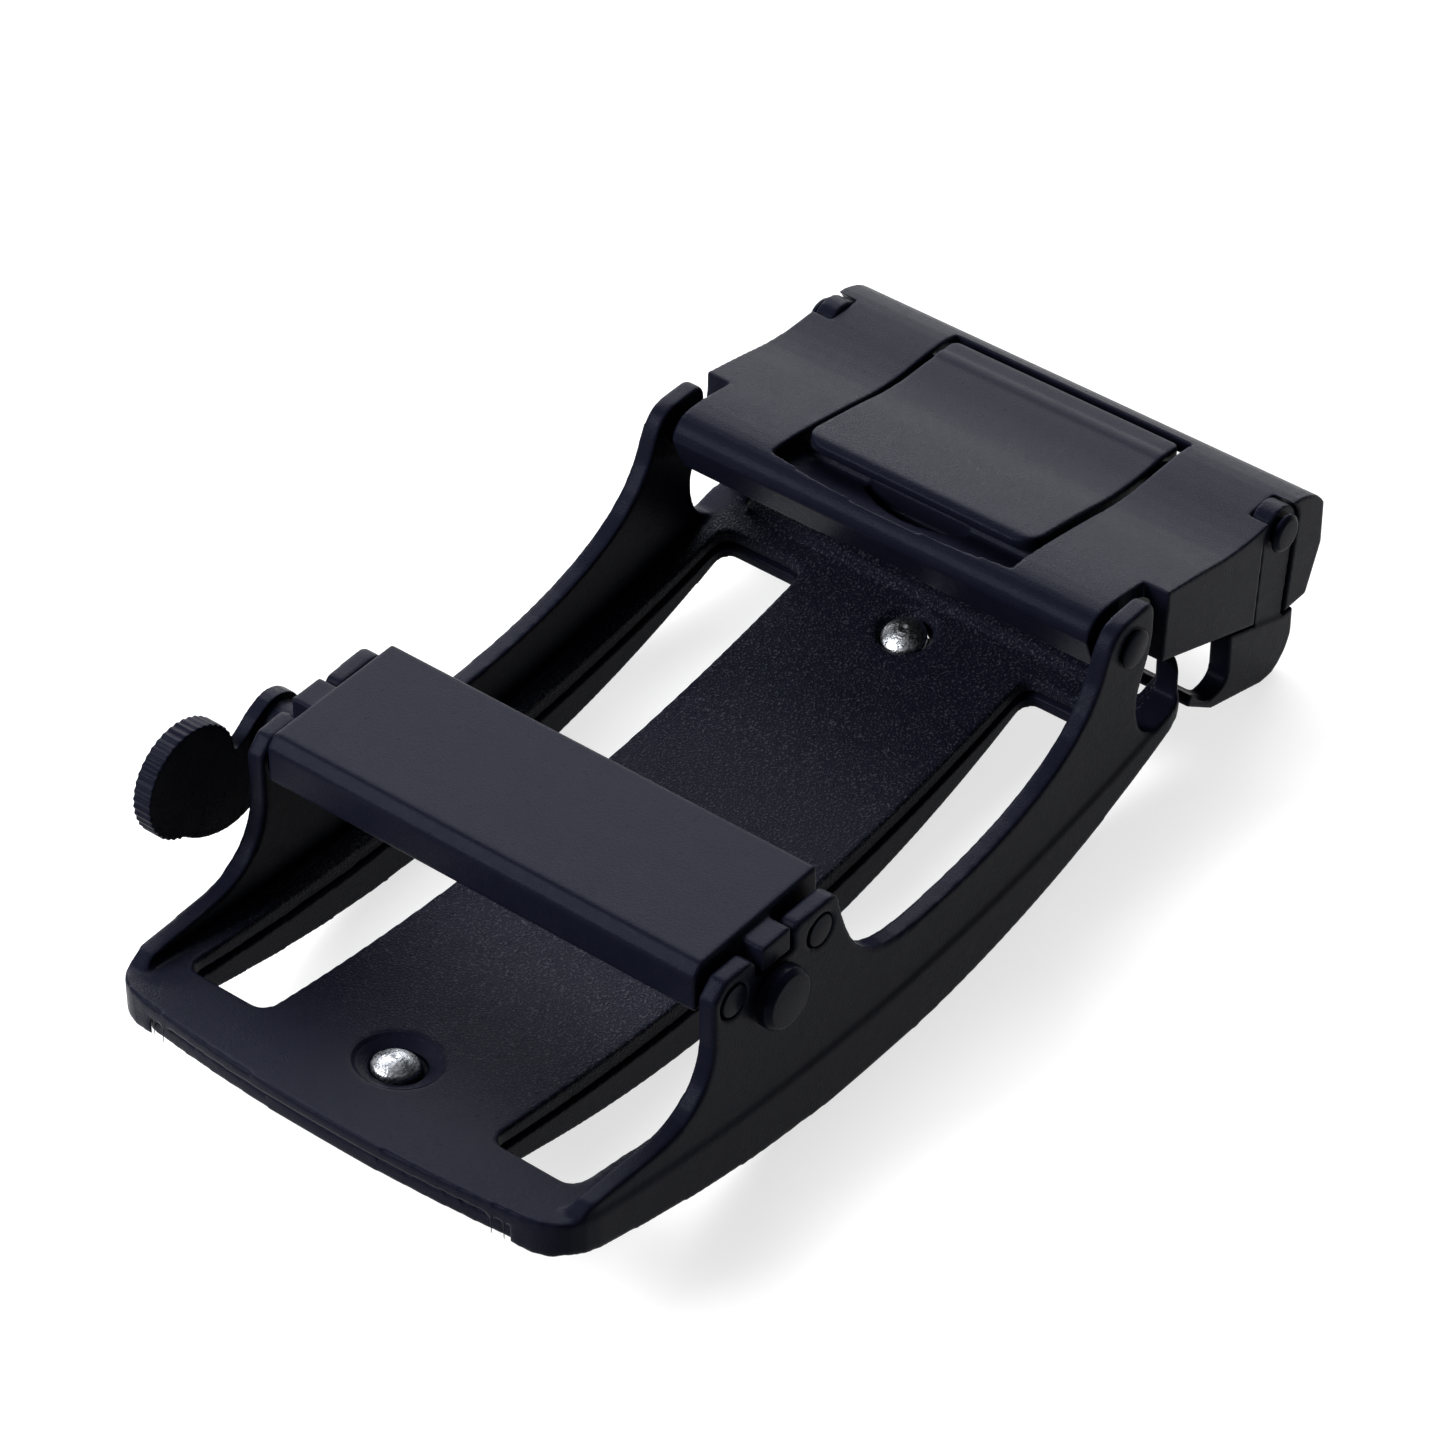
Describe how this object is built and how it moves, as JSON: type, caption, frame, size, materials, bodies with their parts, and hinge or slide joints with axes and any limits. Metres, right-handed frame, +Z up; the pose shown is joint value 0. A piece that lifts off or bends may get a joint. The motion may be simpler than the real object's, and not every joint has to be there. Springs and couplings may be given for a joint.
{
  "type": "belt buckle",
  "caption": "Automatic ratchet belt buckle: bowed frame with slotted floor, sprung pawl under a bridge, thumb lever, and a swivelling strap clamp with cam lever and keeper loop.",
  "frame": {"origin": "middle of the bounding box in plan, at the level of the surface the buckle lies on", "axes": "+X from the pawl end to the clamp end, +Y towards the side with the thumb lever, +Z up out of the strap channel; the buckle lies on its front face as in the picture"},
  "size_m": [0.0832, 0.0444, 0.0201],
  "materials": {
    "black_coat": "satin black coating on die-cast zinc",
    "dark_steel": "blackened steel, a little glossier than the castings",
    "bare_zinc": "bare peened metal",
    "spring_steel": "bright spring steel"
  },
  "bodies": {
    "frame_body": {"frame": "black_coat", "face_plate": "black_coat", "face_rivet_near": "bare_zinc", "face_rivet_far": "bare_zinc", "lock_bridge": "black_coat", "bridge_pin_near": "dark_steel", "bridge_pin_far": "dark_steel", "swivel_pin_left": "dark_steel", "swivel_pin_right": "dark_steel", "pawl_spring": "spring_steel"},
    "release_body": {"release_shaft": "dark_steel", "release_lever": "black_coat"},
    "pawl_body": {"lock_pawl": "dark_steel"},
    "clamp_body": {"clamp_cover": "black_coat", "clamp_base": "black_coat", "cam_pin": "dark_steel"},
    "cam_body": {"cam_lever": "black_coat"}
  },
  "joints": [
    {"name": "release_turn", "type": "hinge", "parent": "frame_body", "child": "release_body", "pos_m": [-0.01944, -0.00126, 0.01478], "axis": [0, -1, 0], "range_deg": [0, 40], "stiffness_Nm_per_rad": 0.01, "springref_deg": -20.05},
    {"name": "pawl_lift", "type": "hinge", "parent": "frame_body", "child": "pawl_body", "pos_m": [-0.0146, -0.00126, 0.01632], "axis": [0, 1, 0], "range_deg": [0, 6], "deforming": ["pawl_spring"]},
    {"name": "clamp_swing", "type": "hinge", "parent": "frame_body", "child": "clamp_body", "pos_m": [0.01881, -0.00126, 0.01526], "axis": [0, -1, 0], "range_deg": [0, 60]},
    {"name": "cam_open", "type": "hinge", "parent": "clamp_body", "child": "cam_body", "pos_m": [0.03636, -0.00126, 0.01261], "axis": [0, 1, 0], "range_deg": [0, 100]}
  ],
  "couplings": [
    {"joint": "pawl_lift", "follows": "release_turn", "ratio": 0.15}
  ]
}
